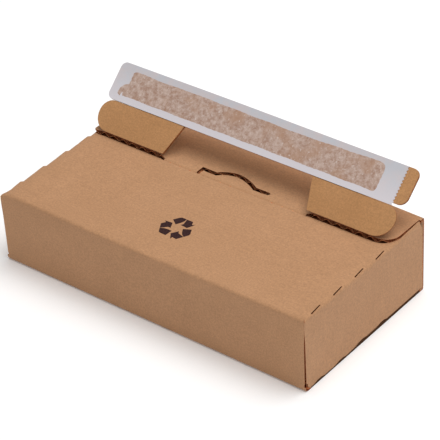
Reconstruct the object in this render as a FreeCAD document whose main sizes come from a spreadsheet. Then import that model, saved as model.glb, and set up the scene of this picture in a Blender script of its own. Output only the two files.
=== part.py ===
# Corrugated mailer box, closed, with its self-seal flap standing open.
# Millimetres, +Z up, +X along the box, front wall towards -Y.
# The origin is on the floor, at the centre of the box's footprint.
import FreeCAD
import Part
import math
import os

Vector = FreeCAD.Vector

doc = FreeCAD.newDocument("MailerBox")
sheet = doc.addObject("Spreadsheet::Sheet", "Sizes")

driving_sizes = (
    # the folded box and its board
    ("box_length", 190.0), ("box_depth", 99.0), ("box_height", 42.0),
    ("board", 3.0), ("long_fold_radius", 1.8), ("end_fold_radius", 1.0),
    # lid: crease line, slits beside it, and the wavy thumb cut behind it
    ("crease_from_front", 69.0), ("hook_from_centre", 45.0), ("slit_width", 1.9),
    ("crease_width", 1.2), ("crease_depth", 0.2),
    ("thumb_half_length", 21.4), ("thumb_offset", 4.7), ("thumb_cut_width", 1.1),
    ("thumb_arch_half", 12.0), ("thumb_arch_height", 4.9),
    # rear band, whose two shoulders stand on a ramp beside each hook
    ("ramp_length", 4.0), ("shoulder_corner", 8.0), ("end_rim", 0.7), ("shoulder_end_gap", 0.3),
    ("board_liner", 0.35), ("flute_medium", 0.3), ("flute_pitch", 6.5), ("flute_pocket_depth", 2.5),
    # perforated folds at the ends, and the gaps round the end panels
    ("end_cut_length", 7.3), ("end_cut_pitch", 17.3), ("end_cut_start", 6.7), ("end_cut_count", 4),
    ("end_cut_width", 0.8), ("end_cut_reach", 2.6),
    ("corner_gap", 0.9), ("corner_gap_bottom", 4.4), ("corner_gap_below_top", 5.5), ("corner_hole", 1.7),
    ("floor_gap", 0.8), ("floor_gap_from_front", 4.0), ("floor_notch", 0.7), ("back_gap", 0.3),
    ("inner_panel_gap", 0.3), ("inner_panel_below_lid", 3.0),
    # seal flap: two tabs and one long strip, pressed thinner than the box's board
    ("flap_angle", 42.5), ("flap_thickness", 1.3), ("flap_clearance", 0.05), ("lid_clearance", 0.1),
    ("hinge_gap", 0.5), ("tab_height", 17.6), ("tab_inner_low", 45.6), ("tab_inner_high", 40.4),
    ("tab_outer", 92.5), ("tab_heel_radius", 11.0), ("tab_shoulder_radius", 4.5),
    ("strip_width", 21.2), ("strip_half_length", 93.5), ("strip_left_corner", 3.0), ("strip_right_corner", 4.5),
    ("nick_radius", 0.28), ("nick_length", 1.2),
    # adhesive and the paper over it
    ("liner_thickness", 0.25), ("liner_from_right_end", 7.0), ("pinking_pitch", 1.65), ("pinking_depth", 0.8),
    ("adhesive_thickness", 0.12), ("adhesive_low_margin", 3.6), ("adhesive_high_margin", 2.6),
    ("adhesive_from_left_end", 7.0), ("adhesive_lobe", 3.6), ("adhesive_from_right_end", 19.0),
    ("adhesive_corner", 5.0),
    # printed mark
    ("mark_span", 17.0), ("mark_from_front", 24.0), ("ink_thickness", 0.05),
)
for row, (alias, value) in enumerate(driving_sizes, start=1):
    sheet.set(f"A{row}", alias)
    sheet.set(f"B{row}", str(value))
    sheet.setAlias(f"B{row}", alias)
doc.recompute()


def size(alias):
    return float(getattr(sheet, alias))


# Places that several pieces share, as expressions on the sheet
half_length = "Sizes.box_length / 2"
front = "(-Sizes.box_depth / 2)"
back = "(Sizes.box_depth / 2)"
lid_top = "Sizes.box_height"
crease_line = f"({front} + Sizes.crease_from_front)"
shoulder_front = f"({crease_line} + Sizes.slit_width)"
closed_stack = "(Sizes.flap_clearance + Sizes.flap_thickness + Sizes.liner_thickness + Sizes.lid_clearance)"
overcut = 0.5


def bind(thing, **expressions):
    for path, expression in expressions.items():
        thing.setExpression(path.replace("_at_", "."), str(expression))
    return thing


def block(name, length, width, height, x_centre, y_low, z_low):
    # a box with its centre at x_centre, and its lowest corner at y_low and z_low
    thing = doc.addObject("Part::Box", name)
    bind(thing, Length=length, Width=width, Height=height)
    bind(thing, Placement_at_Base_at_x=f"{x_centre} - ({length}) / 2",
         Placement_at_Base_at_y=y_low, Placement_at_Base_at_z=z_low)
    return thing


def fused(name, shapes):
    thing = doc.addObject("Part::MultiFuse", name)
    thing.Shapes = shapes
    return thing


def cut(name, base, tool):
    thing = doc.addObject("Part::Cut", name)
    thing.Base = base
    thing.Tool = tool
    return thing


def mirrored(name, source):
    # the same piece at the box's other end
    thing = doc.addObject("Part::Mirroring", name)
    thing.Source = source
    thing.Normal = Vector(1, 0, 0)
    return thing


def shape_feature(name, shape):
    thing = doc.addObject("Part::Feature", name)
    thing.Shape = shape
    return thing


def raised(name, face, thickness):
    # a flat outline given its thickness
    thing = doc.addObject("Part::Extrusion", name)
    thing.Base = shape_feature(name + "_outline", face)
    thing.DirMode = "Custom"
    thing.Dir = Vector(0, 0, 1)
    thing.Solid = True
    bind(thing, LengthFwd=thickness)
    return thing


def rounded_face(corners):
    # closed outline of (x, y, radius) corners, with an arc at each corner that has a radius
    edges = []
    ends = []
    count = len(corners)
    for index, (x, y, radius) in enumerate(corners):
        here = Vector(x, y, 0)
        before = (Vector(*corners[index - 1][:2], 0) - here).normalize()
        after = (Vector(*corners[(index + 1) % count][:2], 0) - here).normalize()
        if radius <= 0:
            ends.append((here, here))
            continue
        half_angle = before.getAngle(after) / 2
        reach = radius / math.tan(half_angle)
        centre = here + (before + after).normalize() * (radius / math.sin(half_angle))
        start, end = here + before * reach, here + after * reach
        edges.append(Part.Arc(start, centre + (here - centre).normalize() * radius, end).toShape())
        ends.append((start, end))
    for index in range(count):
        start, end = ends[index][1], ends[(index + 1) % count][0]
        if (end - start).Length > 1e-6:
            edges.append(Part.LineSegment(start, end).toShape())
    return Part.Face(Part.Wire(Part.__sortEdges__(edges)))


def polygon_face(points):
    return Part.Face(Part.makePolygon([Vector(*point) for point in points + points[:1]]))


# Carton: one sheet folded into a closed box
outside = block("outside", "Sizes.box_length", "Sizes.box_depth", lid_top, "0", front, "0")
doc.recompute()
long_folds = (9, 10, 11, 12)
top_end_folds = (2, 6)
folded_outside = doc.addObject("Part::Fillet", "folded_outside")
folded_outside.Base = outside
folded_outside.Edges = (
    [(edge, size("long_fold_radius"), size("long_fold_radius")) for edge in long_folds]
    + [(edge, size("end_fold_radius"), size("end_fold_radius")) for edge in top_end_folds])
inside = block("inside", "Sizes.box_length - 2 * Sizes.board", "Sizes.box_depth - 2 * Sizes.board",
               "Sizes.box_height - 2 * Sizes.board", "0", f"{front} + Sizes.board", "Sizes.board")
walls = cut("walls", folded_outside, inside)


def shoulder_room():
    # its outer side runs round the shoulder's corner, and leaves a thin rim on the end panel beside the shoulder
    x_hook, x_rim = size("hook_from_centre"), size("box_length") / 2 - size("end_rim")
    y_front = -size("box_depth") / 2 + size("crease_from_front")
    y_back = size("box_depth") / 2 - size("board")
    corner = size("shoulder_corner") + size("slit_width")
    return rounded_face([(x_hook, y_front, 0), (x_rim, y_front, corner), (x_rim, y_back, 0), (x_hook, y_back, 0)])


# Everything cut out at the right-hand end; the left-hand end is its mirror image
under_shoulder = raised("under_shoulder", shoulder_room(), f"Sizes.board + {overcut}")
bind(under_shoulder, Placement_at_Base_at_z=f"{lid_top} - Sizes.board")
floor_gap = block(
    "end_floor_gap", f"Sizes.board + {overcut}",
    "Sizes.box_depth - Sizes.floor_gap_from_front - Sizes.board", f"Sizes.floor_gap + {overcut}",
    f"{half_length} - Sizes.board + (Sizes.board + {overcut}) / 2",
    f"{front} + Sizes.floor_gap_from_front", f"-{overcut}")
back_gap = block(
    "end_back_gap", f"Sizes.board + {overcut}", "Sizes.back_gap", f"Sizes.box_height + {overcut}",
    f"{half_length} - Sizes.board + (Sizes.board + {overcut}) / 2",
    f"{back} - Sizes.board - Sizes.back_gap", "0")
corner_hole = block(
    "end_corner_hole", f"Sizes.corner_hole + {overcut}", "Sizes.corner_hole", "Sizes.corner_hole",
    f"{half_length} - Sizes.corner_hole + (Sizes.corner_hole + {overcut}) / 2",
    f"{front} + Sizes.corner_gap / 4", "Sizes.corner_gap_bottom - Sizes.corner_hole")

# The front wall and the end panel meet in a mitre with an open gap
corner_gap = doc.addObject("Part::Box", "end_corner_gap")
corner_gap.Placement.Rotation = FreeCAD.Rotation(Vector(0, 0, 1), 135)
diagonal = "sqrt(2)"
bind(corner_gap, Length=f"Sizes.board * {diagonal} + {overcut} * 2", Width="Sizes.corner_gap",
     Height="Sizes.box_height - Sizes.corner_gap_bottom - Sizes.corner_gap_below_top",
     Placement_at_Base_at_x=f"{half_length} + ({overcut} + Sizes.corner_gap / 2) / {diagonal}",
     Placement_at_Base_at_y=f"{front} - ({overcut} - Sizes.corner_gap / 2) / {diagonal}",
     Placement_at_Base_at_z="Sizes.corner_gap_bottom")

end_cutters = [under_shoulder, floor_gap, back_gap, corner_hole, corner_gap]
for index in range(int(size("end_cut_count"))):
    cut_start = f"{front} + Sizes.end_cut_start + {index} * Sizes.end_cut_pitch"
    slit = doc.addObject("Part::Box", f"end_fold_cut_{index + 1}")
    slit.Placement.Rotation = FreeCAD.Rotation(Vector(0, 1, 0), 45)
    bind(slit, Length="Sizes.end_cut_width", Width="Sizes.end_cut_length",
         Height=f"Sizes.end_cut_reach + {overcut}",
         Placement_at_Base_at_x=f"{half_length} - (Sizes.end_cut_reach + Sizes.end_cut_width / 2) / {diagonal}",
         Placement_at_Base_at_y=cut_start,
         Placement_at_Base_at_z=f"{lid_top} - (Sizes.end_cut_reach - Sizes.end_cut_width / 2) / {diagonal}")
    notch = block(
        f"end_floor_notch_{index + 1}", f"Sizes.board + {overcut}", "Sizes.end_cut_length", "Sizes.floor_notch",
        f"{half_length} - Sizes.board + (Sizes.board + {overcut}) / 2", cut_start, "Sizes.floor_gap")
    end_cutters += [slit, notch]
right_end_cuts = fused("right_end_cuts", end_cutters)
left_end_cuts = mirrored("left_end_cuts", right_end_cuts)

# Inner end panels, folded up from the base behind the outer ones
right_inner_panel = block(
    "right_inner_panel", "Sizes.board", "Sizes.box_depth - 2 * Sizes.board - 2 * Sizes.back_gap",
    "Sizes.box_height - Sizes.board - Sizes.inner_panel_below_lid",
    f"{half_length} - 1.5 * Sizes.board - Sizes.inner_panel_gap",
    f"{front} + Sizes.board + Sizes.back_gap", "Sizes.board / 2")
left_inner_panel = mirrored("left_inner_panel", right_inner_panel)


def rear_shoulder():
    # from its ramp beside the hook to the end panel's rim, highest at its front edge
    top = size("box_height")
    board = size("board")
    rise = (size("flap_clearance") + size("flap_thickness")
            + size("liner_thickness") + size("lid_clearance"))
    y_front = -size("box_depth") / 2 + size("crease_from_front") + size("slit_width")
    y_back = size("box_depth") / 2 - board
    x_hook = size("hook_from_centre")
    x_end = size("box_length") / 2 - size("end_rim") - size("shoulder_end_gap")

    def section(x, lift):
        return Part.makePolygon([Vector(x, y_front, top - board + lift), Vector(x, y_front, top + lift),
                                 Vector(x, y_back, top), Vector(x, y_back, top - board),
                                 Vector(x, y_front, top - board + lift)])

    x_ramp = x_hook + size("ramp_length")
    ramp = Part.makeLoft([section(x_hook, 0), section(x_ramp, rise)], True, True)
    plate = Part.Face(section(x_ramp, rise)).extrude(Vector(x_end - x_ramp, 0, 0))
    outline = rounded_face([(x_hook - board, y_front, 0), (x_end, y_front, size("shoulder_corner")),
                            (x_end, y_back + board, 0), (x_hook - board, y_back + board, 0)])
    outline.translate(Vector(0, 0, top - 2 * board))
    band = ramp.fuse(plate).common(outline.extrude(Vector(0, 0, 4 * board)))
    return band.cut(flute_pockets(x_ramp, x_end - size("shoulder_corner"), y_front, top - board + rise))


def flute_pockets(x_start, x_stop, y_front, z_low):
    # the open ends of the flutes, above and below the wavy sheet between the two liners
    liner, medium = size("board_liner"), size("flute_medium")
    tall = size("board") - 2 * liner
    pitch, depth = size("flute_pitch"), size("flute_pocket_depth")
    middle = z_low + size("board") / 2
    swing = tall / 2
    half_waves = int((x_stop - x_start) / (pitch / 2))
    window = Part.makeBox(half_waves * pitch / 2, depth + overcut, tall,
                          Vector(x_start, y_front - overcut, z_low + liner))

    def wave(offset):
        arcs = []
        for index in range(half_waves):
            x_left = x_start + index * pitch / 2
            crest = swing if index % 2 == 0 else -swing
            arcs.append(Part.Arc(Vector(x_left, y_front - 2 * overcut, middle + offset),
                                 Vector(x_left + pitch / 4, y_front - 2 * overcut, middle + offset + crest),
                                 Vector(x_left + pitch / 2, y_front - 2 * overcut, middle + offset)).toShape())
        return arcs

    upper, lower = wave(medium / 2), wave(-medium / 2)
    left_end = Part.LineSegment(Vector(x_start, y_front - 2 * overcut, middle - medium / 2),
                                Vector(x_start, y_front - 2 * overcut, middle + medium / 2)).toShape()
    x_last = x_start + half_waves * pitch / 2
    right_end = Part.LineSegment(Vector(x_last, y_front - 2 * overcut, middle - medium / 2),
                                 Vector(x_last, y_front - 2 * overcut, middle + medium / 2)).toShape()
    outline = Part.Wire(Part.__sortEdges__(upper + lower + [left_end, right_end]))
    ribbon = Part.Face(outline).extrude(Vector(0, depth + 4 * overcut, 0))
    return window.cut(ribbon)


right_shoulder = shape_feature("right_shoulder", rear_shoulder())
left_shoulder = mirrored("left_shoulder", right_shoulder)


def thumb_cut():
    # a short return from the crease, a straight run, an arch for the thumb and a second run
    half, offset = size("thumb_half_length"), size("thumb_offset")
    arch_half, arch_height = size("thumb_arch_half"), size("thumb_arch_height")
    crease = -size("box_depth") / 2 + size("crease_from_front")
    line = crease + offset
    path = Part.Wire([
        Part.LineSegment(Vector(-half, crease, 0), Vector(-half, line, 0)).toShape(),
        Part.LineSegment(Vector(-half, line, 0), Vector(-arch_half, line, 0)).toShape(),
        Part.Arc(Vector(-arch_half, line, 0), Vector(0, line + arch_height, 0), Vector(arch_half, line, 0)).toShape(),
        Part.LineSegment(Vector(arch_half, line, 0), Vector(half, line, 0)).toShape()])
    slot = path.makeOffset2D(size("thumb_cut_width") / 2, 0, False, False, False)
    return Part.Face(slot)


thumb_slot = raised("thumb_slot", thumb_cut(), f"Sizes.board + 2 * {overcut}")
bind(thumb_slot, Placement_at_Base_at_z=f"{lid_top} - Sizes.board - {overcut}")
crease_groove = block("crease_groove", "2 * (Sizes.hook_from_centre - Sizes.crease_width)", "Sizes.crease_width",
                      f"Sizes.crease_depth + {overcut}", "0",
                      f"{crease_line} - Sizes.crease_width", f"{lid_top} - Sizes.crease_depth")

carton_cuts = fused("carton_cuts", [right_end_cuts, left_end_cuts, thumb_slot, crease_groove])
cut_walls = cut("cut_walls", walls, carton_cuts)
folded_carton = fused("folded_carton", [cut_walls, right_shoulder, left_shoulder,
                                        right_inner_panel, left_inner_panel])
folded_carton.Refine = True


def stand_on_hinge(thing, lift):
    # from the flap's own plane, X along the hinge and Y up the slope, to its place on the box
    thing.Placement.Rotation = FreeCAD.Rotation(Vector(1, 0, 0), size("flap_angle"))
    hinge_y = f"{shoulder_front} - Sizes.hinge_gap"
    hinge_z = f"{lid_top} + {closed_stack}"
    bind(thing, Placement_at_Rotation_at_Angle="Sizes.flap_angle",
         Placement_at_Base_at_y=f"{hinge_y} - ({lift}) * sin(Sizes.flap_angle * 1deg)",
         Placement_at_Base_at_z=f"{hinge_z} + ({lift}) * cos(Sizes.flap_angle * 1deg)")


def tab_outline(side):
    # slanted inner end, and a rounded outer end with a deep heel
    height = size("tab_height") + size("strip_left_corner")
    slope = (size("tab_inner_low") - size("tab_inner_high")) / size("tab_height")
    outer = side * size("tab_outer")
    return rounded_face([
        (side * size("tab_inner_low"), 0, 0), (outer, 0, size("tab_heel_radius")),
        (outer, size("tab_height"), size("tab_shoulder_radius")),
        (side * (size("tab_outer") - 2 * size("tab_shoulder_radius")), size("tab_height"), 0),
        (side * (size("tab_outer") - 2 * size("tab_shoulder_radius")), height, 0),
        (side * (size("tab_inner_low") - slope * height), height, 0)])


def strip_corners():
    low = size("tab_height")
    high = low + size("strip_width")
    half = size("strip_half_length")
    return low, high, half


def strip_outline():
    low, high, half = strip_corners()
    left, right = size("strip_left_corner"), size("strip_right_corner")
    return rounded_face([(-half, low, left), (half, low, right), (half, high, right), (-half, high, left)])


# Seal flap: tabs and strip are one piece of board, with the uncut nicks of its tear-off hinge
right_tab = raised("right_tab", tab_outline(1), "Sizes.flap_thickness")
left_tab = raised("left_tab", tab_outline(-1), "Sizes.flap_thickness")
strip = raised("strip", strip_outline(), "Sizes.flap_thickness")
flap_parts = [right_tab, left_tab, strip]
nick_room = size("tab_outer") - size("tab_heel_radius") - size("tab_inner_low")
nick_count = int(nick_room / size("flute_pitch"))
for side, end_name in ((1, "right"), (-1, "left")):
    for index in range(nick_count):
        nick = doc.addObject("Part::Cylinder", f"{end_name}_nick_{index + 1}")
        nick.Placement.Rotation = FreeCAD.Rotation(Vector(0, 1, 0), 90)
        from_centre = f"(Sizes.tab_inner_low + ({index} + 0.5) * Sizes.flute_pitch)"
        bind(nick, Radius="Sizes.nick_radius", Height="Sizes.nick_length",
             Placement_at_Base_at_x=f"{side} * {from_centre} - Sizes.nick_length / 2",
             Placement_at_Base_at_y="Sizes.nick_radius / 2")
        flap_parts.append(nick)
seal_flap = fused("seal_flap", flap_parts)
stand_on_hinge(seal_flap, "Sizes.flap_clearance")


def adhesive_outline():
    # a long coat with a rounded right end and a ragged lobe at the left
    low, high, half = strip_corners()
    bottom = low + size("adhesive_low_margin")
    top = high - size("adhesive_high_margin")
    left = -half + size("adhesive_from_left_end")
    lobe, corner = size("adhesive_lobe"), size("adhesive_corner")
    right = half - size("adhesive_from_right_end")
    middle = (bottom + top) / 2
    return rounded_face([(left - lobe, bottom, lobe / 3), (right, bottom, corner), (right, top, corner),
                         (left + lobe, top, 0), (left + lobe / 2, top - lobe / 3, 0),
                         (left, middle + lobe / 2, 0), (left - lobe, middle, lobe / 4)])


def liner_outline():
    # release paper over the strip, its right edge cut by pinking shears
    low, high, half = strip_corners()
    edge = half - size("liner_from_right_end")
    teeth = int(size("strip_width") / size("pinking_pitch"))
    step = size("strip_width") / teeth
    corner = size("strip_left_corner")
    corners = [(-half, low, corner)]
    for index in range(teeth):
        corners.append((edge, low + index * step, 0))
        corners.append((edge - size("pinking_depth"), low + (index + 0.5) * step, 0))
    corners += [(edge, high, 0), (-half, high, corner)]
    return rounded_face(corners)


adhesive_strip = raised("adhesive_strip", adhesive_outline(), "Sizes.adhesive_thickness")
stand_on_hinge(adhesive_strip, "Sizes.flap_clearance + Sizes.flap_thickness")
paper = raised("paper", liner_outline(), "Sizes.liner_thickness")
paper_hollow = raised("paper_hollow", adhesive_outline(), "Sizes.adhesive_thickness")
release_liner = cut("release_liner", paper, paper_hollow)
stand_on_hinge(release_liner, "Sizes.flap_clearance + Sizes.flap_thickness")


def mark_faces():
    # three bent arrows chasing each other round a triangle, drawn once and turned twice
    arrow_tail = [(-5.9, 4.8), (-4.2, 7.7), (-3.3, 8.4), (-1.0, 8.4), (-0.75, 6.0), (-2.6, 2.5)]
    arrow_head = [(-0.5, 8.4), (3.0, 8.4), (4.4, 6.2), (5.8, 6.4), (3.9, 3.1), (0.5, 3.4), (1.3, 4.6)]
    drawn_span = 17.0
    scale = size("mark_span") / drawn_span
    faces = []
    for turn in (0, 120, 240):
        for outline in (arrow_tail, arrow_head):
            face = polygon_face([(x * scale, y * scale, 0) for x, y in outline])
            face.rotate(Vector(0, 0, 0), Vector(0, 0, 1), -turn)
            faces.append(face)
    return Part.makeCompound(faces)


recycling_mark = raised("recycling_mark", mark_faces(), "Sizes.ink_thickness")
bind(recycling_mark, Placement_at_Base_at_y=f"{front} + Sizes.mark_from_front", Placement_at_Base_at_z=lid_top)

nodes = (folded_carton, seal_flap, adhesive_strip, release_liner, recycling_mark)
for node in nodes:
    node.Label = node.Name
doc.recompute()

for thing in doc.Objects:
    if "Invalid" in thing.State or "Error" in thing.State:
        raise RuntimeError(f"{thing.Name} is not built: {thing.State}")
for node in nodes:
    if node.Shape.isNull() or not node.Shape.isValid() or not node.Shape.Solids:
        raise RuntimeError(f"{node.Label} has no valid solid")

os.makedirs("parts", exist_ok=True)
for node in nodes:
    node.Shape.exportStep(f"parts/{node.Label}.step")
    box = node.Shape.BoundBox
    print(f"{node.Label}: {len(node.Shape.Solids)} solids, {node.Shape.Volume:.1f} mm3, "
          f"x {box.XMin:.2f} to {box.XMax:.2f}, y {box.YMin:.2f} to {box.YMax:.2f}, "
          f"z {box.ZMin:.2f} to {box.ZMax:.2f}")
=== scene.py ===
# Corrugated mailer box with its seal flap standing open. Metres, +Z up, front wall towards -Y.
# The sheets are laid out flat in millimetres, cut, and then folded round the CAD frame.
import math

import bpy
import numpy as np
from mathutils import Matrix, Vector, kdtree
from mathutils.geometry import delaunay_2d_cdt


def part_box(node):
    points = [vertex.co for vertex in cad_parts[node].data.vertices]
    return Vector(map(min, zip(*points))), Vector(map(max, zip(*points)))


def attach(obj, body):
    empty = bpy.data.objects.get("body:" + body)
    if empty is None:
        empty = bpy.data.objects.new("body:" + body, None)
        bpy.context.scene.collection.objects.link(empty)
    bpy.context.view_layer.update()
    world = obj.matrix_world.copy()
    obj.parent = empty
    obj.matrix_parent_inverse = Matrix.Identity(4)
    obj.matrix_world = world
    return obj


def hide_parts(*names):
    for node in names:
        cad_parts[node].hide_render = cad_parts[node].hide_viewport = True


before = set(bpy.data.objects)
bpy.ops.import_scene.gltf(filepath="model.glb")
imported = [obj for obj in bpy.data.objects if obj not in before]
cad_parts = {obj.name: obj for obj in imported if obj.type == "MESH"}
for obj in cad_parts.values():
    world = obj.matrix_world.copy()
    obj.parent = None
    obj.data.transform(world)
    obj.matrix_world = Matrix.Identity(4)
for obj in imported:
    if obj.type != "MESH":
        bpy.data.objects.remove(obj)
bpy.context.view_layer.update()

mm = 0.001


def smooth(low, high, value):
    t = np.clip((value - low) / (high - low), 0, 1)
    return t * t * (3 - 2 * t)


def linearColour(hexCode):
    # sRGB hex to the linear values that the shader wants
    parts = [int(hexCode[i:i + 2], 16) / 255 for i in (1, 3, 5)]
    return [p / 12.92 if p <= 0.04045 else ((p + 0.055) / 1.055) ** 2.4 for p in parts] + [1.0]


# Flat sheets

def refined(loop, step):
    # a closed loop with no side longer than step
    points = []
    for (x0, y0), (x1, y1) in zip(loop, loop[1:] + loop[:1]):
        count = max(1, math.ceil(math.hypot(x1 - x0, y1 - y0) / step))
        points += [(x0 + (x1 - x0) * i / count, y0 + (y1 - y0) * i / count) for i in range(count)]
    return points


def arc(centreX, centreY, radius, fromDegrees, toDegrees, steps=10):
    angles = np.radians(np.linspace(fromDegrees, toDegrees, steps + 1))
    return [(centreX + radius * math.cos(a), centreY + radius * math.sin(a)) for a in angles]


def roundedLoop(corners, steps=8):
    # closed outline of (x, y, radius) corners
    loop = []
    for index, (x, y, radius) in enumerate(corners):
        here = np.array([x, y], float)
        before = np.array(corners[index - 1][:2], float) - here
        after = np.array(corners[(index + 1) % len(corners)][:2], float) - here
        before /= np.linalg.norm(before)
        after /= np.linalg.norm(after)
        if radius <= 0:
            loop.append((x, y))
            continue
        half = math.acos(np.clip(before @ after, -1, 1)) / 2
        bisector = (before + after) / np.linalg.norm(before + after)
        centre = here + bisector * (radius / math.sin(half))
        start = here + before * (radius / math.tan(half)) - centre
        end = here + after * (radius / math.tan(half)) - centre
        for t in np.linspace(0, 1, steps + 1):
            spoke = start * (1 - t) + end * t
            loop.append(tuple(centre + spoke / np.linalg.norm(spoke) * radius))
    return loop


def insideLoops(points, loops):
    # even-odd test, so a loop inside another is a hole
    inside = np.zeros(len(points), bool)
    x, y = points[:, 0], points[:, 1]
    for loop in loops:
        ends = np.array(loop)
        for (x0, y0), (x1, y1) in zip(ends, np.roll(ends, -1, axis=0)):
            if y0 == y1:
                continue
            crosses = (y0 > y) != (y1 > y)
            inside ^= crosses & (x < (x1 - x0) * (y - y0) / (y1 - y0) + x0)
    return inside


def triangulated(loops, gridU, gridV, keepOff):
    # the cut sheet as triangles, with grid points inside so that it can bend
    corners = np.array([p for loop in loops for p in loop])
    grid = np.array([(u, v) for u in gridU for v in gridV])
    grid = grid[insideLoops(grid, loops)]
    tree = kdtree.KDTree(len(corners))
    for index, (x, y) in enumerate(corners):
        tree.insert((x, y, 0), index)
    tree.balance()
    grid = np.array([p for p in grid if tree.find((p[0], p[1], 0))[2] > keepOff]).reshape(-1, 2)
    edges = []
    start = 0
    for loop in loops:
        edges += [(start + i, start + (i + 1) % len(loop)) for i in range(len(loop))]
        start += len(loop)
    points = [Vector(p) for p in np.vstack([corners, grid])]
    found = delaunay_2d_cdt(points, edges, [], 0, 1e-5)
    flat = np.array([tuple(p) for p in found[0]])
    faces = np.array(found[2])
    centres = flat[faces].mean(axis=1)
    return flat, faces[insideLoops(centres, loops)]


def newMesh():
    return {"points": [], "faces": [], "finish": []}


def addSheet(mesh, loops, grid, place, depths, finishes, keepOff=0.4):
    # a closed thin sheet between two depths; finishes are its top, its underside and its cut edge
    flat, faces = triangulated(loops, grid[0], grid[1], keepOff)
    base = sum(len(p) for p in mesh["points"])
    for depth in depths:
        value = depth(flat[:, 0], flat[:, 1]) if callable(depth) else np.full(len(flat), float(depth))
        mesh["points"].append(place(flat[:, 0], flat[:, 1], value))
    count = len(flat)
    seen = {}
    for a, b, c in faces:
        for edge in ((a, b), (b, c), (c, a)):
            seen[edge] = True
    mesh["faces"] += [tuple(base + f) for f in faces]
    mesh["faces"] += [tuple(base + count + f[::-1]) for f in faces]
    mesh["finish"] += [finishes[0]] * len(faces) + [finishes[1]] * len(faces)
    for a, b in seen:
        if (b, a) not in seen:
            mesh["faces"].append((base + b, base + a, base + count + a, base + count + b))
            mesh["finish"].append(finishes[2])


def meshObject(name, mesh, materials, sharpDegrees=32):
    data = bpy.data.meshes.new(name)
    points = np.vstack(mesh["points"]) * mm
    data.from_pydata(points.tolist(), [], [tuple(int(i) for i in f) for f in mesh["faces"]])
    for material in materials:
        data.materials.append(material)
    data.polygons.foreach_set("material_index", mesh["finish"])
    data.polygons.foreach_set("use_smooth", [True] * len(data.polygons))
    data.set_sharp_from_angle(angle=math.radians(sharpDegrees))
    data.update()
    made = bpy.data.objects.new(name, data)
    bpy.context.scene.collection.objects.link(made)
    return made


def spaced(low, high, step, extra=()):
    count = max(1, round((high - low) / step))
    return sorted(set(np.round(np.linspace(low, high, count + 1), 4)) | set(np.round(extra, 4)))


# Materials

def addNode(tree, kind, settings=None, links=None):
    # settings go to the node or to its sockets, links join its sockets to other nodes' outputs;
    # a colour Mix has its factor in socket 0, its colours in 6 and 7, and gives output 2
    node = tree.nodes.new(kind)
    for key, value in (settings or {}).items():
        if isinstance(key, int) or key in node.inputs:
            node.inputs[key].default_value = value
        else:
            setattr(node, key, value)
    for key, (source, output) in (links or {}).items():
        tree.links.new(source.outputs[output], node.inputs[key])
    return node


def newMaterial(name, shaderSettings):
    material = bpy.data.materials.new(name)
    material.use_nodes = True
    tree = material.node_tree
    tree.nodes.clear()
    shader = addNode(tree, "ShaderNodeBsdfPrincipled", shaderSettings)
    addNode(tree, "ShaderNodeOutputMaterial", links={"Surface": (shader, "BSDF")})
    return material, tree, shader


kraftLook = {
    "grainMm": 0.9,       # fibre bundles; real ones are about 0.2 mm, drawn coarser so that they show
    "blotchMm": 16.0,     # uneven formation of the sheet
    "streakMm": 1.3,      # streaks along the paper machine's direction, across the flutes
    "grainDepth": 0.22, "streakDepth": 0.04, "bumpMm": 0.05,
}


def kraftPaper(name, colour, light, dark, streakAcross=(0.12, 1.0, 0.12), look=kraftLook):
    # Kraft linerboard, machine made: matt, warm brown, with fine fibres, faint streaks and soft blotches
    material, tree, shader = newMaterial(name, {"Roughness": 0.82, "IOR": 1.47, "Specular IOR Level": 0.35,
                                                "Sheen Weight": 0.06, "Sheen Roughness": 0.6})
    where = addNode(tree, "ShaderNodeTexCoord")
    grain = addNode(tree, "ShaderNodeTexNoise",
                    {"Scale": 1 / (look["grainMm"] * mm), "Detail": 4.0, "Roughness": 0.7},
                    {"Vector": (where, "Object")})
    blotch = addNode(tree, "ShaderNodeTexNoise",
                     {"Scale": 1 / (look["blotchMm"] * mm), "Detail": 3.0, "Roughness": 0.55},
                     {"Vector": (where, "Object")})
    along = addNode(tree, "ShaderNodeMapping", {"Scale": streakAcross}, {"Vector": (where, "Object")})
    streak = addNode(tree, "ShaderNodeTexNoise",
                     {"Scale": 1 / (look["streakMm"] * mm), "Detail": 3.0, "Roughness": 0.6},
                     {"Vector": (along, "Vector")})
    shade = addNode(tree, "ShaderNodeValToRGB", links={"Fac": (blotch, "Fac")})
    shade.color_ramp.elements[0].position, shade.color_ramp.elements[1].position = 0.3, 0.7
    shade.color_ramp.elements[0].color = linearColour(dark)
    shade.color_ramp.elements[1].color = linearColour(light)
    tone = addNode(tree, "ShaderNodeMix", {"data_type": "RGBA", 0: 0.5, 6: linearColour(colour)},
                   {7: (shade, "Color")})
    grainTone = addNode(tree, "ShaderNodeMapRange",
                        {"From Min": 0.25, "From Max": 0.75, "To Min": 1 - look["grainDepth"],
                         "To Max": 1 + look["grainDepth"]}, {"Value": (grain, "Fac")})
    streakTone = addNode(tree, "ShaderNodeMapRange",
                         {"From Min": 0.25, "From Max": 0.75, "To Min": 1 - look["streakDepth"],
                          "To Max": 1 + look["streakDepth"]}, {"Value": (streak, "Fac")})
    product = addNode(tree, "ShaderNodeMath", {"operation": "MULTIPLY"},
                      {0: (grainTone, "Result"), 1: (streakTone, "Result")})
    coloured = addNode(tree, "ShaderNodeVectorMath", {"operation": "SCALE"},
                       {0: (tone, 2), "Scale": (product, "Value")})
    tree.links.new(coloured.outputs["Vector"], shader.inputs["Base Color"])
    bump = addNode(tree, "ShaderNodeBump", {"Strength": 0.5, "Distance": look["bumpMm"] * mm},
                   {"Height": (grain, "Fac")})
    tree.links.new(bump.outputs["Normal"], shader.inputs["Normal"])
    return material


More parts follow.
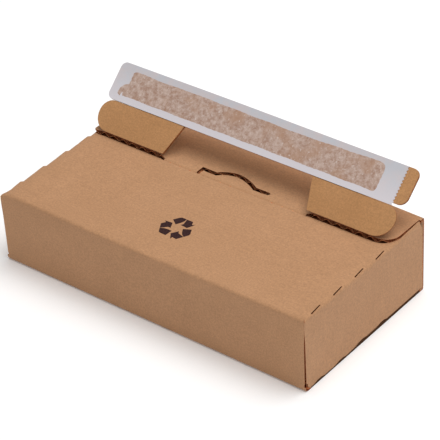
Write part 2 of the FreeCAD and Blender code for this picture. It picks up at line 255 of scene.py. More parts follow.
def rawEdge(name, light, dark, grainMm=0.5):
    # Cut corrugated board: torn brown fibres, with no gloss, dark where the light can't reach
    material, tree, shader = newMaterial(name, {"Roughness": 0.95, "IOR": 1.45, "Specular IOR Level": 0.15})
    where = addNode(tree, "ShaderNodeTexCoord")
    grain = addNode(tree, "ShaderNodeTexNoise", {"Scale": 1 / (grainMm * mm), "Detail": 3.0},
                    {"Vector": (where, "Object")})
    shade = addNode(tree, "ShaderNodeValToRGB", links={"Fac": (grain, "Fac")})
    shade.color_ramp.elements[0].position, shade.color_ramp.elements[1].position = 0.35, 0.65
    shade.color_ramp.elements[0].color = linearColour(dark)
    shade.color_ramp.elements[1].color = linearColour(light)
    tree.links.new(shade.outputs["Color"], shader.inputs["Base Color"])
    bump = addNode(tree, "ShaderNodeBump", {"Strength": 0.6, "Distance": 0.1 * mm},
                   {"Height": (grain, "Fac")})
    tree.links.new(bump.outputs["Normal"], shader.inputs["Normal"])
    return material


outerKraft = kraftPaper("kraftLinerOuter", "#b58761", "#b98b65", "#b0835d")
innerKraft = kraftPaper("kraftLinerInner", "#b78657", "#bb8a5b", "#b28253", streakAcross=(0.1, 1.0, 1.0))
# the cut edges' deep red-brown is partly the board's own colour and partly painted shade for the gaps,
# slots and cuts
cutEdge = rawEdge("cutBoardEdgeWithPaintedShade", "#9c522b", "#642e17")
# the medium's pale end is painted highlight, glints on the flute crests, over the medium's own brown
fluteMediumWithPaintedGlints = rawEdge("fluteMediumWithPaintedGlints", "#e8a474", "#b0562a", grainMm=0.8)
# where the board is pressed shut its edge is nearly plain; the base fold's near-black is painted shade, for
# the dark contact line under the end panel
crushedEdge = rawEdge("crushedBoardEdge", "#957358", "#84634a", grainMm=0.8)
baseFoldPaintedShade = rawEdge("baseFoldInPaintedShade", "#54361f", "#382010")
print("kraft materials ready")

# Folded carton

boxLow, boxHigh = (corner * 1000 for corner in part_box("folded_carton"))
carton = {
    "height": 42.0, "board": 3.0, "liner": 0.35, "flutePitch": 6.5, "medium": 0.3,
    "frontFoldRadius": 1.8, "backFoldRadius": 0.6, "rearLift": 0.85, "rearCrown": 1.35,
    "crease": 69.6, "hook": 45.0, "slit": 1.3, "creaseDip": 0.5, "creaseWidth": 2.0,
    "thumbFrom": -22.7, "thumbTo": 18.9, "thumbOffset": 4.9, "thumbWidth": 2.0, "thumbPress": 0.5,
    "archFrom": -14.2, "archTo": 10.0, "archHeight": 4.6,
    "rightShoulderCorner": 8.0, "leftShoulderCorner": 2.6, "shoulderRise": 1.7, "ramp": 4.0,
    "leftSlitEnd": 0.3, "leftSlitTurn": 1.4, "endRim": 0.7, "endGap": 0.3, "wallEase": 0.05,
    "seam": 88.0,                      # the end pieces take over from the lid here
    "rightRadius": 1.6, "leftRadius": 3.4, "frontCornerRadius": 1.5,
    "rightBulge": 0.45, "leftBulge": 1.3,
    "cutLength": 7.3, "cutPitch": 17.3, "cutStart": 6.7, "cutCount": 4, "cutWidth": 0.52,
    "cutSlant": 0.4, "cutRise": 1.3,
    "cornerGap": 1.3, "cornerEase": 0.02, "gapTop": 36.5, "gapFull": 28.0, "gapBottom": 4.4,
    "cornerHole": 1.7,
    "floorGap": 0.9, "floorBow": 0.9, "floorNotch": 0.7, "lipRise": 0.3, "backGap": 0.3,
    "rearEdgeTop": 1.6, "rearEdgeBottom": 0.9, "crushedDepth": 0.4, "crushedEase": 0.08,
    "frontFoldSag": 0.9, "wallBow": 0.35, "lidBow": 0.4,
    "leftDrop": 1.5, "leftDropFront": 0.7, "leftDropRun": 11.0,
}
halfLength = (boxHigh.x - boxLow.x) / 2
halfDepth = (boxHigh.y - boxLow.y) / 2
top = carton["height"]
board = carton["board"]
creaseY = -halfDepth + carton["crease"]
slitY = creaseY + carton["slit"]
foldBackBottom = halfDepth
foldBackTop = foldBackBottom + top
foldFrontTop = foldBackTop + 2 * halfDepth
foldFrontBottom = foldFrontTop + top
sheetLength = foldFrontBottom + halfDepth
innerEase = 5.0   # the inner liner gives up its spare length over this distance from a fold


def bowed(points):
    # gentle give of the panels: the front fold sags, the lid and the walls are a little hollow
    x, y, z = points[:, 0], points[:, 1], points[:, 2]
    across = 1 - (x / halfLength) ** 2
    height = np.clip(z / top, 0, 1)
    nearFront = smooth(-12, -halfDepth, y)
    inLid = np.sin(np.pi * np.clip((y + halfDepth) / (2 * halfDepth), 0, 1))
    wall = np.sin(np.pi * np.clip(z / top, 0, 1))
    moved = points.copy()
    moved[:, 2] -= height ** 3 * across * (carton["frontFoldSag"] * nearFront + carton["lidBow"] * inLid)
    moved[:, 2] += (height ** 3 * carton["rearLift"] * (1 + carton["rearCrown"] * across)
                    * smooth(28, halfDepth - 3, y))
    # the lid has been pushed down along its left end
    towardsLeft = np.clip((-x - halfLength + carton["leftDropRun"]) / carton["leftDropRun"], 0, 1) ** 1.8
    drop = carton["leftDrop"] + carton["leftDropFront"] * smooth(-30, -halfDepth, y)
    moved[:, 2] -= height ** 3 * drop * towardsLeft * smooth(45, 20, y)
    moved[:, 1] -= np.sign(y) * carton["wallBow"] * across * wall * smooth(40, halfDepth, np.abs(y))
    endWall = smooth(halfLength - 12, halfLength, np.abs(x)) * np.sin(
        np.pi * np.clip((y + halfDepth) / (2 * halfDepth), 0, 1))
    moved[:, 0] -= np.sign(x) * carton["wallBow"] * wall * endWall
    return moved


legStarts = np.array([0, foldBackBottom, foldBackTop, foldFrontTop, foldFrontBottom, sheetLength])
legPoints = np.array([(0, 0), (halfDepth, 0), (halfDepth, top), (-halfDepth, top), (-halfDepth, 0), (0, 0)],
                     float)
legDirections = np.array([(1, 0), (0, 1), (-1, 0), (0, -1), (1, 0)], float)
legInward = np.array([(0, 1), (-1, 0), (0, -1), (1, 0), (0, 1)], float)


def shoulderLift(x, y):
    # the rear band stands up from its ramp beside each hook, most at its front edge
    side = smooth(carton["hook"], carton["hook"] + carton["ramp"], np.abs(x))
    back = halfDepth - board
    slope = np.clip((back - y) / (back - slitY), 0, 1)
    return carton["shoulderRise"] * side * slope * (y > (creaseY + slitY) / 2)


def eased(run):
    return np.where(run < innerEase, run * (innerEase - board) / innerEase, run - board)


def foldedSheet(x, v, depth):
    # v runs from the middle of the base up the back, over the top and down the front
    leg = np.clip(np.searchsorted(legStarts, v, side="right") - 1, 0, 4)
    outer = legPoints[leg] + legDirections[leg] * (v - legStarts[leg])[:, None]
    for k in range(1, 5):
        radius = carton["backFoldRadius"] if k < 3 else carton["frontFoldRadius"]
        near = np.abs(v - legStarts[k]) < radius
        turn = (v[near] - legStarts[k] + radius) / (2 * radius) * math.pi / 2
        coming, going = legDirections[k - 1], legDirections[k]
        centre = legPoints[k] - radius * coming + radius * going
        outer[near] = (centre - radius * np.cos(turn)[:, None] * going
                       + radius * np.sin(turn)[:, None] * coming)
    inner = np.zeros_like(outer)
    for k in range(5):
        chosen = leg == k
        along = v[chosen] - legStarts[k]
        length = legStarts[k + 1] - legStarts[k]
        fromStart = board + eased(along)
        fromEnd = length - board - eased(length - along)
        if 0 < k < 4:
            run = np.where(along < length / 2, fromStart, fromEnd)
        else:
            run = fromEnd if k == 0 else fromStart
        inner[chosen] = legPoints[k] + legDirections[k] * run[:, None] + legInward[k] * board
    share = (depth / board)[:, None]
    profile = outer * (1 - share) + inner * share
    points = np.column_stack([x, profile])
    onTop = leg == 2
    points[:, 2] += np.where(onTop, shoulderLift(x, profile[:, 0]), 0)
    distance = np.abs(profile[:, 0] - creaseY) / (carton["creaseWidth"] / 2)
    dip = carton["creaseDip"] * np.clip(1 - distance, 0, 1) * (np.abs(x) < carton["hook"] + 1)
    points[:, 2] -= np.where(onTop & (depth < board / 2), dip, 0)
    line = np.interp(x, *thumbLine()[1:].T)
    inFront = smooth(line - 7, line - 0.5, profile[:, 0]) * (profile[:, 0] < line)
    pressed = inFront * smooth(carton["thumbFrom"] - 1, carton["thumbFrom"] + 3, x) * smooth(
        carton["thumbTo"] + 1, carton["thumbTo"] - 4, x)
    points[:, 2] -= np.where(onTop, carton["thumbPress"] * pressed, 0)
    return bowed(points)


def topV(y):
    return foldBackTop + halfDepth - y


def frontV(z):
    return foldFrontTop + top - z


def cornerGap(z):
    # half the gap between the front wall and the end panel, which widens downwards
    opening = smooth(carton["gapTop"], carton["gapFull"], z) * (0.35 + 0.65 * (1 - z / top))
    return carton["cornerGap"] / 2 * opening * (z > carton["gapBottom"])


def shoulderCorner(side):
    return carton["rightShoulderCorner"] if side > 0 else carton["leftShoulderCorner"]


def slitCorner(fromX, side):
    # the slit's outer side round the shoulder's corner, from x = fromX to the rim
    width = carton["slit"] if side > 0 else carton["leftSlitEnd"]
    radius = shoulderCorner(side) + width
    centreX = halfLength - carton["endRim"] - radius
    centreY = slitY + shoulderCorner(side)
    if fromX < centreX:
        turn = [] if side > 0 else [(fromX + carton["leftSlitTurn"], creaseY)]
        return [(fromX, creaseY)] + turn + arc(centreX, centreY, radius, -90, 0)
    start = math.degrees(math.asin((fromX - centreX) / radius)) - 90
    return arc(centreX, centreY, radius, start, 0)


def stripSide(mitre, end):
    # one end of the sheet from the base round to the base again, as (x, v) with x positive
    shoulderEnd = halfLength - carton["endRim"] - carton["endGap"]
    corner = shoulderCorner(end)
    baseEnd = halfLength - board
    seamEnd = slitCorner(carton["seam"], end)[0]
    cornerRadius = carton["frontCornerRadius"]
    bend = carton["frontFoldRadius"]
    bendV = foldFrontTop - bend
    wallEnd = halfLength - carton["wallEase"]
    side = [(baseEnd, 0), (baseEnd, halfDepth - board - carton["backGap"]),
            (wallEnd, halfDepth - board - carton["backGap"]),
            (wallEnd, topV(halfDepth - board)), (shoulderEnd, topV(halfDepth - board))]
    side += [(x, topV(y)) for x, y in arc(shoulderEnd - corner, slitY + corner, corner, 0, -90)]
    side += [(carton["hook"], topV(slitY)), (carton["hook"], topV(creaseY))]
    radius = corner + carton["slit"]
    slitTurn = halfLength - carton["endRim"] - radius
    if slitTurn < carton["seam"]:
        side.append((slitTurn, topV(creaseY)))
    side += [(carton["seam"], topV(seamEnd[1])),
             (carton["seam"], bendV), (halfLength - cornerRadius - mitre, bendV)]
    for angle in np.radians(np.linspace(15, 90, 6)):
        # where the end fold runs into the front fold
        turned = math.acos(1 - cornerRadius / bend * (1 - math.cos(angle)))
        side.append((halfLength - cornerRadius * (1 - math.sin(angle)) - mitre - carton["cornerEase"],
                     bendV + 2 * bend * turned / (math.pi / 2)))
    for z in (38, 36.5, 34, 31, 28, 22, 16, 10, carton["gapBottom"] + 0.1):
        side.append((halfLength - mitre - carton["cornerEase"] - cornerGap(np.array(z)), frontV(z)))
    hole = carton["cornerHole"]
    side += [(halfLength - mitre - hole / 2, frontV(carton["gapBottom"])),
             (halfLength - mitre - hole / 2, frontV(carton["gapBottom"] - hole)),
             (halfLength - mitre * 0.2, frontV(carton["gapBottom"] - hole)),
             (halfLength, foldFrontBottom + 4.0), (baseEnd, foldFrontBottom + 11.0),
             (baseEnd, sheetLength)]
    return side


def thumbLine():
    # a short return from the crease, a straight run, an arch for the thumb and a second run
    line = creaseY + carton["thumbOffset"]
    start, end = carton["archFrom"], carton["archTo"]
    centre = [(carton["thumbFrom"], creaseY + 0.5), (carton["thumbFrom"], line), (start, line)]
    for t in np.linspace(0, 1, 19)[1:-1]:
        rise = math.sin(math.pi * t ** 0.85) ** 0.9
        centre.append((start + (end - start) * t, line + carton["archHeight"] * rise))
    return np.array(centre + [(end, line), (carton["thumbTo"], line)])


def thumbSlot():
    path = thumbLine()
    width = carton["thumbWidth"] / 2
    ways = np.diff(path, axis=0)
    ways /= np.linalg.norm(ways, axis=1)[:, None]
    turns = np.vstack([ways[:1], ways[1:] + ways[:-1], ways[-1:]])
    turns /= np.linalg.norm(turns, axis=1)[:, None]
    sides = np.column_stack([-turns[:, 1], turns[:, 0]])
    stretch = np.ones(len(path))
    stretch[1:-1] = 1 / np.clip(np.einsum("ij,ij->i", turns[1:-1], ways[1:]), 0.5, 1)
    offset = sides * (width * stretch)[:, None]
    upper, lower = path + offset, path - offset
    tip = path[-1] + ways[-1] * width
    foot = path[0] - ways[0] * width * 0.6
    loop = [tuple(p) for p in upper] + [tuple(tip)] + [tuple(p) for p in lower[::-1]] + [tuple(foot)]
    return [(x, topV(y)) for x, y in loop]


def sheetLoops(mitre, step):
    right = stripSide(mitre, 1)
    left = [(-x, v) for x, v in stripSide(mitre, -1)[::-1]]
    return [refined(right + left, step), refined(thumbSlot(), min(step, 0.8))]


foldLines = [legStarts[k] + offset for k in range(1, 5)
             for offset in (-5, -1.8, -1.2, -0.6, -0.3, 0, 0.3, 0.6, 1.2, 1.8, 5)]
creaseLines = [topV(creaseY + offset) for offset in (-2, -1.1, -0.6, 0, 0.6, 1.1, 2)]
sheetGridV = spaced(0, sheetLength, 5, foldLines + creaseLines)
outerGridU = spaced(-halfLength, halfLength, 4, [-49, -47, -45, 45, 47, 49])
wave = carton["flutePitch"] / 10
mediumGridU = spaced(-halfLength, halfLength, wave)
mediumGridV = spaced(0, sheetLength, 9,
                     [line + offset for line in legStarts[1:5] for offset in (-1.8, 0, 1.8)])
swing = board / 2 - carton["liner"] - carton["medium"] / 2


def fluteDepth(offset, alongU=True):
    def depth(u, v):
        run = u if alongU else v
        return board / 2 + offset + swing * np.sin(2 * math.pi * run / carton["flutePitch"])
    return depth


# finishes: 0 outer liner, 1 inner liner, 2 cut edge (partly painted shade), 3 medium (pale end partly
# painted glints), 4 crushed edge, 5 base fold in painted shade
cartonMesh = newMesh()
addSheet(cartonMesh, sheetLoops(0, 3), (outerGridU, sheetGridV), foldedSheet, (0, carton["liner"]),
         (0, 2, 2))
addSheet(cartonMesh, sheetLoops(board, 3), (outerGridU, sheetGridV), foldedSheet,
         (board - carton["liner"], board), (2, 1, 2))
addSheet(cartonMesh, sheetLoops(board / 2, wave), (mediumGridU, mediumGridV), foldedSheet,
         (fluteDepth(-carton["medium"] / 2), fluteDepth(carton["medium"] / 2)), (3, 3, 3), keepOff=0.3)
print("main sheet folded:", sum(len(p) for p in cartonMesh["points"]), "points")


def foldRadius(y, side):
    # radius of the end fold; it grows after each cut and springs back at the cut's far end
    base, bulge = ((carton["rightRadius"], carton["rightBulge"]) if side > 0
                   else (carton["leftRadius"], carton["leftBulge"]))
    cutEnd = -halfDepth + carton["cutStart"] + carton["cutLength"]
    phase = ((y - cutEnd) / carton["cutPitch"]) % 1.0
    saw = 1 - 2 * phase
    saw = np.where(phase < 0.07, -1 + 2 * phase / 0.07, saw)
    between = smooth(-halfDepth, -halfDepth + 6, y) * smooth(creaseY + 9, creaseY + 2, y)
    corner = carton["frontCornerRadius"]
    return corner + (base + bulge * saw - corner) * between


foldRun = halfLength - carton["seam"]          # flat coordinate q runs from the seam to the fold's foot
panelRun = top - 1


def endPiece(side):
    def place(y, q, depth):
        radius = foldRadius(y, side)
        flat = foldRun - radius
        reach = q / foldRun * (flat + radius * math.pi / 2)
        turn = np.clip((reach - flat) / radius, 0, math.pi / 2)
        outerX = np.where(reach < flat, carton["seam"] + reach, halfLength - radius + radius * np.sin(turn))
        outerZ = top - radius + radius * np.cos(turn)
        down = np.clip((q - foldRun) / panelRun, 0, 1)
        outerX = np.where(q > foldRun, halfLength, outerX)
        outerZ = np.where(q > foldRun, (top - radius) * (1 - down), outerZ)
        innerX = np.minimum(carton["seam"] + q * (foldRun - board) / foldRun, halfLength - board)
        innerZ = (top - board) * (1 - down)
        share = depth / board
        x = outerX * (1 - share) + innerX * share
        z = outerZ * (1 - share) + innerZ * share
        longRadius = carton["frontFoldRadius"]
        risen = np.clip(outerZ - top + longRadius, 0, longRadius)
        rounding = longRadius - np.sqrt(longRadius ** 2 - risen ** 2)
        y = y + rounding * smooth(-halfDepth + 6, -halfDepth, y)
        return bowed(np.column_stack([side * x, y, z]))
    return place


def foldQ(x, y, side):
    # flat coordinate of a point on the lid's margin or on the fold
    radius = float(foldRadius(np.array([y]), side)[0])
    flat = foldRun - radius
    reach = x - carton["seam"]
    if reach > flat:
        reach = flat + radius * math.asin(min(1.0, (x - halfLength + radius) / radius))
    return reach * foldRun / (flat + radius * math.pi / 2)


def panelQ(z):
    return foldRun + panelRun * (1 - z / (top - 1.5))


def floorHeight(y):
    # the end panel's lower edge stands a little higher towards the back
    return carton["floorGap"] + carton["floorBow"] * float(smooth(-25, 5, y))


def endLoops(side, mitre, rimmed, step):
    back = halfDepth - board - carton["backGap"]
    front = -halfDepth + mitre + carton["cornerEase"]
    loop = [(front, 0)]
    slitSide = slitCorner(carton["seam"], side)
    if rimmed:
        loop += [(y, foldQ(x, y, side)) for x, y in slitSide]
        loop += [(back, foldQ(slitSide[-1][0], back, side)), (back, panelQ(40)),
                 (halfDepth - carton["rearEdgeTop"], panelQ(37)),
                 (halfDepth - carton["rearEdgeBottom"], panelQ(floorHeight(back)))]
    else:
        slitStart, under = slitSide[0][1], panelQ(top - board - 0.2)
        loop += [(slitStart, 0), (slitStart, foldQ(halfLength - board, slitStart, side)),
                 (slitStart, under), (back, under), (back, panelQ(floorHeight(back)))]
    starts = [-halfDepth + carton["cutStart"] + i * carton["cutPitch"] for i in range(carton["cutCount"])]
    for start in starts[::-1]:
        end = start + carton["cutLength"]
        loop += [(end + 1, panelQ(floorHeight(end + 1))),
                 (end - 1.5, panelQ(floorHeight(end - 1.5) + carton["floorNotch"])),
                 (start + 3, panelQ(floorHeight(start + 3) + carton["floorNotch"])),
                 (start - 1, panelQ(floorHeight(start - 1)))]
    loop.append((front + 3.2, panelQ(floorHeight(front))))
    for z in (carton["gapBottom"] - carton["cornerHole"], carton["gapBottom"]):
        loop.append((front + carton["cornerHole"] * 0.9, panelQ(z)))
    for z in (carton["gapBottom"] + 0.1, 10, 16, 22, 28, 31, 34, 36.5):
        loop.append((front + float(cornerGap(np.array(z))), panelQ(z)))
    loop.append((front, foldRun))
    loops = [refined(loop, step)]
    for start in starts:
        near, far = start, start + carton["cutLength"]
        middle = foldRun - carton["cutRise"]
        width = carton["cutWidth"] / 2
        slant = carton["cutSlant"]
        if far < slitSide[0][1] + 2:
            loops.append(refined([(near, middle - width), (far, middle - slant - width),
                                  (far + 0.3, middle - slant), (far, middle - slant + width),
                                  (near, middle + width), (near - 0.3, middle)], 1.0))
    return loops


cutEdges = [-halfDepth + carton["cutStart"] + carton["cutLength"] + i * carton["cutPitch"] + offset
            for i in range(-1, carton["cutCount"]) for offset in (-1, 0, 0.4, 0.8, 1.2, 2)]
endGridY = spaced(-halfDepth, halfDepth, 3, cutEdges)
endGridQ = spaced(0, foldRun, 0.5) + spaced(foldRun + 1, foldRun + panelRun, 4)
endWaveQ = spaced(0, foldRun + panelRun, wave)
for side in (1, -1):
    place = endPiece(side)
    addSheet(cartonMesh, endLoops(side, 0, True, 2), (endGridY, endGridQ), place,
             (0, carton["liner"]), (0, 2, 2), keepOff=0.25)
    addSheet(cartonMesh, endLoops(side, board, False, 2), (endGridY, endGridQ), place,
             (board - carton["liner"], board), (2, 1, 2), keepOff=0.25)
    addSheet(cartonMesh, endLoops(side, board / 2, False, wave), (endGridY[::2], endWaveQ), place,
             (fluteDepth(-carton["medium"] / 2, False), fluteDepth(carton["medium"] / 2, False)), (3, 3, 3),
             keepOff=0.3)
print("end panels hung")


def innerPanel(side):
    # folded up from the base behind the outer end panel
    def place(y, z, depth):
        return np.column_stack([side * (halfLength - board - carton["endGap"] - depth), y, z])
    return place


def baseLip(side):
    # the base's own fold fills the gap under the end panel; its near-black colour is painted shade, a dark
    # contact line along the floor
    def place(x, y, z):
        return np.column_stack([side * x, y, z])
    return place


lipIn, lipOut = halfLength - board - 0.2, halfLength - carton["wallEase"]
lipFront, lipBack = -halfDepth + board + 1.5, halfDepth - board - 0.5
lipLoop = refined([(lipIn, lipFront), (lipOut, lipFront), (lipOut, lipBack), (lipIn, lipBack)], 6)
for side in (1, -1):
    addSheet(cartonMesh, [lipLoop], (spaced(90, 95, 2), spaced(-49, 49, 6)), baseLip(side),
             (carton["floorGap"] + carton["floorBow"] + carton["lipRise"], 0.02), (5, 5, 5))


def backEnd(side):
    # the back wall's ends are crushed and show as a plain band
    def place(y, z, depth):
        flat = bowed(np.column_stack([np.full(len(y), side * halfLength), y, z]))
        return flat - np.array([side, 0, 0]) * depth[:, None]
    return place


bandFront, bandBack, bandTop = halfDepth - board + 0.1, halfDepth - 0.1, top - 0.8
backEndLoop = refined([(bandFront, 0.3), (bandBack, 0.3), (bandBack, bandTop), (bandFront, bandTop)], 1.5)
for side in (1, -1):
    addSheet(cartonMesh, [backEndLoop], (spaced(46, 50, 1), spaced(0, top, 3)), backEnd(side),
             (carton["crushedEase"], carton["crushedDepth"]), (4, 4, 4))
innerHalf, innerTop = halfDepth - board - 0.3, top - board - 0.2
innerLoop = refined([(-innerHalf, board / 2), (innerHalf, board / 2), (innerHalf, innerTop),
                     (-innerHalf, innerTop)], 6)
innerGrid = (spaced(-halfDepth, halfDepth, 8), spaced(0, top, 8))
for side in (1, -1):
    for depths in ((0, carton["liner"]), (board - carton["liner"], board)):
        addSheet(cartonMesh, [innerLoop], innerGrid, innerPanel(side), depths, (1, 1, 2))
foldedCarton = meshObject("foldedCarton", cartonMesh,
                          [outerKraft, innerKraft, cutEdge, fluteMediumWithPaintedGlints, crushedEdge, baseFoldPaintedShade])
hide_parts("folded_carton")
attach(foldedCarton, "carton")
print("carton:", len(foldedCarton.data.polygons), "faces")

# Printed mark

# Water-based flexo ink, soaked into the liner: matt and brownish black
markInk, markTree, markShader = newMaterial("printedInk", {"Roughness": 0.85, "IOR": 1.45,
                                                           "Specular IOR Level": 0.1})
inkWhere = addNode(markTree, "ShaderNodeTexCoord")
inkGrain = addNode(markTree, "ShaderNodeTexNoise", {"Scale": 1 / (0.7 * mm), "Detail": 3.0},
                   {"Vector": (inkWhere, "Object")})
inkShade = addNode(markTree, "ShaderNodeValToRGB", links={"Fac": (inkGrain, "Fac")})
inkShade.color_ramp.elements[0].position, inkShade.color_ramp.elements[1].position = 0.35, 0.75
inkShade.color_ramp.elements[0].color = linearColour("#301f1e")
inkShade.color_ramp.elements[1].color = linearColour("#48302f")
markTree.links.new(inkShade.outputs["Color"], markShader.inputs["Base Color"])

mark = {
    "centreX": -0.5, "fromFront": 25.6, "ink": 0.05, "scale": 0.965,
    "tail": [(-6.3, 4.8), (-4.3, 8.0), (-3.3, 8.7), (-0.4, 8.7), (-0.4, 6.6), (-1.1, 4.7), (-2.5, 2.2)],
    "head": [(-0.2, 8.7), (3.7, 8.7), (4.8, 6.3), (6.2, 6.9), (4.3, 2.8), (0.0, 3.2), (0.8, 4.6)],
}


def onLid(x, y, depth):
    lid = foldedSheet(x, topV(y), np.zeros(len(x)))
    return lid + np.column_stack([np.zeros((len(x), 2)), mark["ink"] * (1 - depth)])


markMesh = newMesh()
markY = -halfDepth + mark["fromFront"]
for turn in (0, -120, -240):
    cosine, sine = math.cos(math.radians(turn)), math.sin(math.radians(turn))
    for outline in (mark["tail"], mark["head"]):
        loop = [((x * cosine - y * sine) * mark["scale"] + mark["centreX"],
                 (x * sine + y * cosine) * mark["scale"] + markY) for x, y in outline]
        addSheet(markMesh, [refined(loop, 1.0)], (spaced(-9, 9, 1), spaced(markY - 9, markY + 9, 1)),
                 onLid, (0, 0.9), (0, 0, 0), keepOff=0.2)
recyclingMark = meshObject("recyclingMark", markMesh, [markInk])
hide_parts("recycling_mark")
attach(recyclingMark, "carton")

# Seal flap

flap = {
    "angle": 42.5, "thickness": 1.3, "liner": 0.3, "clearance": 0.05,
    "hingeY": slitY - 0.5, "hingeZ": top + carton["shoulderRise"],
    "tabHeight": 17.6, "tabFoot": 0.4, "tabInnerLow": 45.6, "tabInnerHigh": 40.6,
    "tabOuterLeft": 93.6, "tabOuterRight": 92.6, "heelRadius": 9.5, "shoulderRadius": 7.0,
    "stripWidth": 21.2, "stripHalf": 93.0, "leftCorner": 3.4, "rightCorner": 4.6, "tearGap": 0.2,
    "rightReach": 93.95, "rightRise": 1.4, "rightDrop": 0.8, "tearBow": -0.1, "tearTilt": -0.15,
}


def onFlap(x, s, height):
    # height is measured square to the flap, from its underside
    angle = math.radians(flap["angle"])
    lift = flap["clearance"] + height
    y = flap["hingeY"] + s * math.cos(angle) - lift * math.sin(angle)
    z = flap["hingeZ"] + s * math.sin(angle) + lift * math.cos(angle)
    return np.column_stack([x, y, z])


def onTab(x, s, height):
    # the tabs' rounded ends were crushed by the cutter
    crushed = 1 - 0.6 * smooth(flap["tabOuterRight"] - 9, flap["tabOuterRight"] - 1, np.abs(x))
    return onFlap(x, s, flap["thickness"] - (flap["thickness"] - height) * crushed)


def tabLoop(side):
    height = float(tearLine(side * 70)) - flap["tearGap"]
    outer = flap["tabOuterRight"] if side > 0 else flap["tabOuterLeft"]
    foot = flap["tabFoot"]
    loop = roundedLoop([(flap["tabInnerLow"], foot, 0.8), (outer, foot, flap["heelRadius"]),
                        (outer, height, flap["shoulderRadius"]), (flap["tabInnerHigh"], height, 0)])
    return [(side * x, s) for x, s in loop]


def tearLine(x):
    # the strip's lower edge hangs a little between the tabs and towards the right
    hang = flap["tearBow"] * np.exp(-((x - 8) / 38) ** 2)
    return flap["tabHeight"] + hang + flap["tearTilt"] * x / flap["stripHalf"]


def stripTop(x):
    return flap["tabHeight"] + flap["stripWidth"] - flap["rightDrop"] * smooth(-40, 90, x)


def stripLoop():
    half, reach = flap["stripHalf"], flap["rightReach"]
    left, right = flap["leftCorner"], flap["rightCorner"]
    rise = float(tearLine(reach)) + flap["rightRise"]
    lower = [(x, float(tearLine(x)), 0) for x in range(-80, 77, 8)]
    upper = [(x, float(stripTop(x)), 0) for x in range(80, -81, -16)]
    return roundedLoop([(-half, float(tearLine(-half)), left)] + lower
                       + [(86, rise, 0), (reach - 0.3, rise, right)]
                       + [(reach, float(stripTop(reach)), right - 1)] + upper
                       + [(-half, float(stripTop(-half)), left)])


def pressedFlute(offset):
    reach = flap["thickness"] / 2 - flap["liner"] - 0.08

    def height(u, v):
        return flap["thickness"] / 2 + offset + reach * np.sin(2 * math.pi * u / carton["flutePitch"])
    return height


flapMesh = newMesh()
flapGridU = spaced(-flap["stripHalf"], flap["rightReach"], 4)
flapWaveU = spaced(-flap["stripHalf"], flap["rightReach"], wave)
for outline, lay in ((tabLoop(1), onTab), (tabLoop(-1), onTab), (stripLoop(), onFlap)):
    grid = (flapGridU, spaced(0, flap["tabHeight"] + flap["stripWidth"], 4))
    addSheet(flapMesh, [refined(outline, 2)], grid, lay,
             (flap["thickness"], flap["thickness"] - flap["liner"]), (0, 2, 2))
    addSheet(flapMesh, [refined(outline, 2)], grid, lay, (flap["liner"], 0), (2, 1, 2))
    addSheet(flapMesh, [refined(outline, wave)], (flapWaveU, grid[1]), lay,
             (pressedFlute(0.08), pressedFlute(-0.08)), (3, 3, 3), keepOff=0.3)
flapKraft = kraftPaper("kraftLinerFlap", "#b78657", "#bc8b5c", "#b18152", streakAcross=(0.1, 1.0, 1.0))
flapEdge = rawEdge("flapBoardEdge", "#a37046", "#7e4c2a")
sealFlap = meshObject("sealFlap", flapMesh, [flapKraft, outerKraft, flapEdge, fluteMediumWithPaintedGlints])
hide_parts("seal_flap")
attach(sealFlap, "flap")
print("seal flap:", len(sealFlap.data.polygons), "faces")

# Release paper over the adhesive

paper = {
    "thickness": 0.25, "pinkedAt": 87.5, "pinkPitch": 1.65, "pinkDepth": 0.8, "leftCorner": 3.4,
    "glue": [(-88.0, 21.6, 0.8), (-85.9, 20.9, 0), (-85.3, 23.4, 0), (-84.4, 21.3, 0), (-60, 21.2, 0),
             (0, 21.0, 0), (56, 20.7, 0), (75.7, 20.6, 1.8), (75.9, 35.6, 3.6), (48, 34.9, 0),
             (24, 34.4, 0), (-46, 35.3, 0), (-60, 35.0, 0), (-83.6, 35.6, 1.8), (-83.3, 28.4, 0),
             (-86.0, 27.2, 0), (-87.8, 24.6, 0)],
}


def paperLoop():
    half, edge = flap["stripHalf"], paper["pinkedAt"]
    low, high = float(tearLine(edge)), float(stripTop(edge))
    teeth = int((high - low) / paper["pinkPitch"])
    step = (high - low) / teeth
    corners = [(-half, float(tearLine(-half)), paper["leftCorner"])]
    corners += [(x, float(tearLine(x)), 0) for x in range(-80, 81, 8)]
    for index in range(teeth):
        corners += [(edge, low + index * step, 0),
                    (edge - paper["pinkDepth"], low + (index + 0.5) * step, 0)]
    corners += [(edge, high, 0)] + [(x, float(stripTop(x)), 0) for x in range(72, -81, -16)]
    return roundedLoop(corners + [(-half, float(stripTop(-half)), paper["leftCorner"])])


def glueLoop():
    # a long coat with a rounded right end and a ragged lobe at the left; its edge wanders a little
    loop = refined(roundedLoop(paper["glue"]), 0.9)
    return [(x + 0.12 * math.sin(2.3 * s + 0.9 * x),
             s + 0.07 * math.sin(1.7 * x) + 0.12 * math.sin(0.31 * x)) for x, s in loop]


